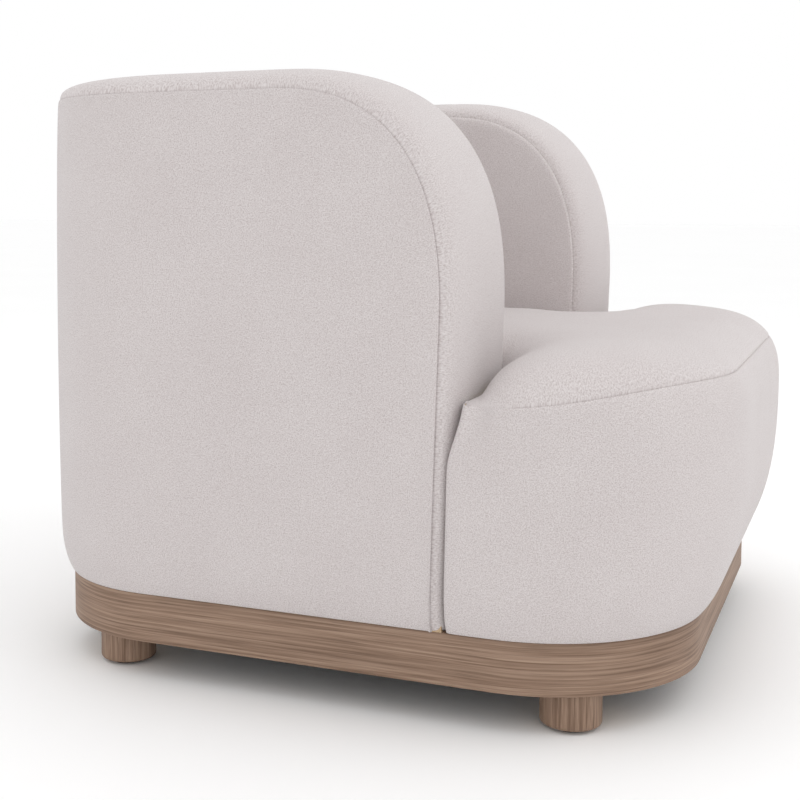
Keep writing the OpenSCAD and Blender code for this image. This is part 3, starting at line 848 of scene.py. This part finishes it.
def seat_place(depth, flat_z=None):
    """Placing rule for the domed seat, sunk by depth; flat_z puts it all at one height instead."""

    def place(i, j):
        u = seat_share(i)
        kind, y, width, seam = SEAT_ROWS[j]
        if kind == "front":
            start = SEAT_END - END_R
            middle = lerp(0.5 * width, inner_x - HAIR, ease((y - corner_y + 0.1) / 0.1))
            x = u / 0.5 * middle
            if abs(u) > 0.5:
                x = math.copysign(lerp(middle, width, 2 * abs(u) - 1), u)
            if abs(u) >= 0.5:
                y = meet_arm(x, y, start)
        else:
            x = u / 0.5 * width
        z = seat_height(x, y) - depth
        sink = depth
        if depth == 0 and kind == "front" and (j <= 1 or abs(u) == 1):
            sink = max(sunk(j), sunk(min(i, SEAT_COLUMNS - i)))
            crossing = CROSSING if sink == ALLOWANCE else 0.0
            z = seam - sink - crossing
            sink -= crossing
        x *= 1 - sink / half_w
        y -= sink * y / half_w
        return Vector((x, y, z if flat_z is None else flat_z)), (x, y)

    return place


def boxing_chain(k, z):
    """Where step k of the seat's right half stands on the seat's outline and on the plinth's, and which way
    it faces: 0 at the front and 90 degrees at the side."""
    end_r = lerp(END_R_LOW, END_R, ease((z - 0.30) / 0.08))
    flat_x = half_w - face_r
    if k <= TURNED:
        turn = max(0.0, math.pi / 2 * (k - MIDDLE_STEPS) / TURN_STEPS)
        r = face_r + belly(turn)
        low_x, low_y = plinth_w - front_r, plinth_front + front_r
        if k <= MIDDLE_STEPS:
            full = (flat_x * k / MIDDLE_STEPS, corner_y - r)
            return full, (low_x * k / MIDDLE_STEPS, plinth_front), 0.0
        low = (low_x + front_r * math.sin(turn), low_y - front_r * math.cos(turn))
        return (flat_x + r * math.sin(turn), corner_y - r * math.cos(turn)), low, turn
    side = half_w + BELLY_SIDE
    start = SEAT_END - end_r
    if k <= TURNED + SIDE_STEPS:
        y = lerp(corner_y, start, (k - TURNED) / SIDE_STEPS)
        return (side, y), (plinth_w, max(y, plinth_front + front_r)), math.pi / 2
    turn = math.pi / 2 * (k - TURNED - SIDE_STEPS) / END_STEPS
    x = side - end_r + end_r * math.cos(turn)
    y = meet_arm(x, start + end_r * math.sin(turn), start) + 0.55 * lean(z)
    return (x, y), (x - overhang - BELLY_SIDE, y), math.pi / 2


BOXING_SHARES = seam_rows(28, 0.004)


def boxing_place(depth, inset=None, upper=None):
    """Placing rule for the seat's side, up to the height upper or else to the seam; inset puts it that far
    inside the plinth's face, for the back of a foam."""
    spans = running_lengths([boxing_chain(k, PLAN_Z)[0] for k in range(BOXING_STEPS + 1)])

    def place(i, j):
        share = BOXING_SHARES[j]
        top = upper or seat_seam(boxing_chain(i, PLAN_Z)[2])
        z = lerp(deck_z, top, share)
        full, low, turn = boxing_chain(i, z)
        ahead, aside = math.cos(turn), math.sin(turn)
        rise = min(1.0, (z - deck_z) / (SHOULDER_Z - deck_z))
        f = lerp(roll_in(z), max(0.0, 1 - (1 - rise) ** 2.6) ** 0.75, ahead ** 2)
        gap = SHADOW_GAP * (1 - f) - depth - dome_inset(z)
        if inset is not None:
            f, gap = 0.0, -inset
        if depth == 0:
            sink = sunk(len(BOXING_SHARES) - 1 - j)
            crossing = CROSSING if sink == ALLOWANCE else 0.0
            gap -= sink + crossing
            z -= sink - crossing
        x = lerp(low[0], full[0], f) + gap * aside
        y = lerp(low[1], full[1], f) - gap * ahead
        return Vector((x, y, z)), (spans[i], z)

    return place


def build_seat():
    rows = len(SEAT_ROWS) - 1
    bm = placed_grid(SEAT_COLUMNS, rows, seat_place(0), keep=on_seat)
    turn_out(bm, 2, 1)
    top = finish_piece("seat_top_cloth", bm, cover_cloth, ["seat_top_cover"])
    finish_cloth(top)
    bm = placed_grid(BOXING_STEPS, len(BOXING_SHARES) - 1, boxing_place(0))
    mirror_half(bm)
    turn_out(bm, 0, 1)
    side = finish_piece("seat_boxing_cloth", bm, cover_cloth, ["seat_boxing_cover"])
    finish_cloth(side)

    foam_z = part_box("seat_foam")[0].z
    bm = padded_block(SEAT_COLUMNS - 2, rows - 1, span(seat_place(FOAM_DEPTH), 1, 1),
                      span(seat_place(FOAM_DEPTH, flat_z=foam_z), 1, 1),
                      keep=lambda i, j: on_seat(i + 1, j + 1))
    finish_piece("seat_foam_pad", bm, foam_stuff, ["seat_foam"])
    upper = foam_z - FOAM_SPLIT
    bm = padded_block(EDGE_FOAM_STEPS, len(BOXING_SHARES) - 2, boxing_place(FOAM_DEPTH, upper=upper),
                      boxing_place(FOAM_DEPTH, inset=EDGE_FOAM_BACK, upper=upper))
    open_middle(bm)
    mirror_half(bm)
    finish_piece("seat_edge_foam_pad", bm, foam_stuff, ["seat_edge_foam"])


# ---- plinth and feet ----

def band_length(x, y, side):
    """Length along the plinth's face to the point nearest (x, y), from the middle of the front and round
    one side."""
    straight_front = plinth_w - front_r
    side_run = (plinth_back - back_r) - (plinth_front + front_r)
    ahead = x * side
    if y < plinth_front + front_r:
        if ahead <= straight_front:
            return ahead * side
        turn = math.atan2(ahead - straight_front, plinth_front + front_r - y)
        return side * (straight_front + front_r * turn)
    past_corner = straight_front + front_r * math.pi / 2
    if y <= plinth_back - back_r:
        return side * (past_corner + y - plinth_front - front_r)
    start = past_corner + side_run
    if ahead >= plinth_w - back_r:
        return side * (start + back_r * math.atan2(y - plinth_back + back_r, ahead - plinth_w + back_r))
    return side * (start + back_r * math.pi / 2 + plinth_w - back_r - ahead)


EASED = 0.0012        # radius of the plinth's eased edges
RAIL_STEPS = 24       # rows along a straight rail, so that the grain follows it
FOOT_EASE = 0.0045    # radius of a foot's lower edge
FOOT_BORE = 0.0043    # radius of its bolt hole


def band_section(bm, origin, inward):
    """Upright section face of the plinth band with its outside edges eased."""
    base = Vector(origin)
    inward = Vector(inward)
    corners = []
    for depth, z in ((0, plinth_z), (plinth_t, plinth_z), (plinth_t, deck_z), (0, deck_z)):
        point = base + inward * depth
        corners.append(bm.verts.new((point.x, point.y, z)))
    bm.faces.new(corners)
    outside = [corners[0], corners[3]]
    bmesh.ops.bevel(bm, geom=outside, offset=EASED, offset_type="OFFSET", affect="VERTICES", segments=3,
                    profile=0.5, material=-1)
    return bm.verts[:] + bm.edges[:] + bm.faces[:]


def finish_band(name, bm):
    bmesh.ops.remove_doubles(bm, verts=bm.verts, dist=0.00001)
    bmesh.ops.holes_fill(bm, edges=bm.edges, sides=0)
    bmesh.ops.recalc_face_normals(bm, faces=bm.faces)
    layer = bm.loops.layers.uv.new("grain")
    side = -1 if "left" in name else 1
    for face in bm.faces:
        for loop in face.loops:
            co = loop.vert.co
            depth = 0.0 if abs(face.normal.z) < 0.7 else 0.9 * (abs(co.x) + co.y * 0.5)
            loop[layer].uv = (band_length(co.x, co.y, side), co.z + depth)
    piece = finish_piece(name + "_oak", bm, band_oak, [name])
    for face in piece.data.polygons:
        face.use_smooth = face.area < 0.02
    piece.data.set_sharp_from_angle(angle=math.radians(35))


def extend(bm, vector, steps):
    """Carries the section along a straight run."""
    step = Vector(vector) / steps
    front = bm.faces[:]
    for _ in range(steps):
        grown = bmesh.ops.extrude_face_region(bm, geom=front)["geom"]
        verts = [g for g in grown if isinstance(g, bmesh.types.BMVert)]
        bmesh.ops.translate(bm, verts=verts, vec=step)
        front = [g for g in grown if isinstance(g, bmesh.types.BMFace)]


def build_plinth():
    for name, sign_y, y, r in (("plinth_front_rail", 1, plinth_front, front_r),
                               ("plinth_back_rail", -1, plinth_back, back_r)):
        bm = bmesh.new()
        reach = plinth_w - r
        band_section(bm, (-reach, y, 0), (0, sign_y, 0))
        extend(bm, (2 * reach, 0, 0), RAIL_STEPS)
        finish_band(name, bm)
    y0, y1 = plinth_front + front_r, plinth_back - back_r
    for name, side in (("plinth_left_rail", -1), ("plinth_right_rail", 1)):
        bm = bmesh.new()
        band_section(bm, (side * plinth_w, y0, 0), (-side, 0, 0))
        extend(bm, (0, y1 - y0, 0), RAIL_STEPS)
        finish_band(name, bm)
    for end, sign_y, r in (("front", -1, front_r), ("back", 1, back_r)):
        for label, side in (("left", -1), ("right", 1)):
            bm = bmesh.new()
            centre = (side * (plinth_w - r), plinth_front + r if sign_y < 0 else plinth_back - r, 0)
            geom = band_section(bm, (centre[0], centre[1] + sign_y * r, 0), (0, -sign_y, 0))
            bmesh.ops.spin(bm, geom=geom, cent=centre, axis=(0, 0, 1), dvec=(0, 0, 0),
                           angle=-side * sign_y * math.pi / 2, steps=32, use_merge=False, use_duplicate=False)
            finish_band("plinth_corner_" + end + "_" + label, bm)


def build_feet():
    for name in ("foot_front_left", "foot_front_right", "foot_back_left", "foot_back_right"):
        lo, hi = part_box(name)
        centre = (lo + hi) / 2
        r = (hi.x - lo.x) / 2
        outline = [(FOOT_BORE, hi.z), (r, hi.z)]
        for i in range(7):
            turn = math.pi / 2 * i / 6
            rad = r - FOOT_EASE + FOOT_EASE * math.cos(turn)
            outline.append((rad, lo.z + FOOT_EASE - FOOT_EASE * math.sin(turn)))
        outline.append((FOOT_BORE, lo.z))
        outline.append((FOOT_BORE, hi.z))
        bm = bmesh.new()
        verts = [bm.verts.new((centre.x + rad, centre.y, z)) for rad, z in outline]
        edges = [bm.edges.new(pair) for pair in zip(verts, verts[1:])]
        bmesh.ops.spin(bm, geom=verts + edges, cent=(centre.x, centre.y, 0), axis=(0, 0, 1), dvec=(0, 0, 0),
                       angle=math.tau, steps=72, use_merge=True, use_duplicate=False)
        bmesh.ops.remove_doubles(bm, verts=bm.verts, dist=0.00002)
        bmesh.ops.recalc_face_normals(bm, faces=bm.faces)
        piece = finish_piece(name + "_oak", bm, foot_oak, [name])
        piece.data.set_sharp_from_angle(angle=math.radians(40))


# ---- pieces that stay as the frame made them ----

GRAIN_ALONG = {"seat_left_rail": "Y", "seat_right_rail": "Y", "back_posts": "Z"}


def dress_frame():
    """Better materials for the frame, springs and fasteners."""
    light, dark = (0.62, 0.47, 0.29), (0.47, 0.33, 0.19)
    timber = {axis: board("frame_timber_" + axis, light, dark, axis) for axis in "XYZ"}
    ply = plywood("birch_plywood")
    zinc = speckled("zinc_plate", (0.62, 0.62, 0.63), (0.48, 0.48, 0.50), 500, 0.28, 0.0001, metallic=1.0)
    felt = speckled("grey_felt", (0.05, 0.05, 0.055), (0.02, 0.02, 0.022), 1500, 0.85, 0.0004)
    dust = speckled("dust_cloth", (0.022, 0.022, 0.023), (0.010, 0.010, 0.011), 1200, 0.8, 0.0003)
    pad = speckled("cotton_felt", (0.36, 0.30, 0.24), (0.20, 0.16, 0.12), 700, 0.9, 0.0008)
    straps = strap_weave("elastic_webbing")
    by_slot = {"frame_timber": timber["X"], "plywood": ply, "steel": zinc, "felt": felt, "dust_cloth": dust,
               "insulator_felt": pad, "webbing": straps, "foam": foam_stuff, "cover_fabric": cover_cloth,
               "plinth_oak": band_oak, "foot_oak": foot_oak}
    for part in frame["record"]["subparts"]:
        node = nodes[part["node"]]
        material = by_slot[part["material_slot"]]
        if part["node"] in GRAIN_ALONG:
            material = timber[GRAIN_ALONG[part["node"]]]
        node.data.materials.clear()
        node.data.materials.append(material)


dress_frame()
build_shell()
build_foams()
build_seat()
build_plinth()
build_feet()
studio()
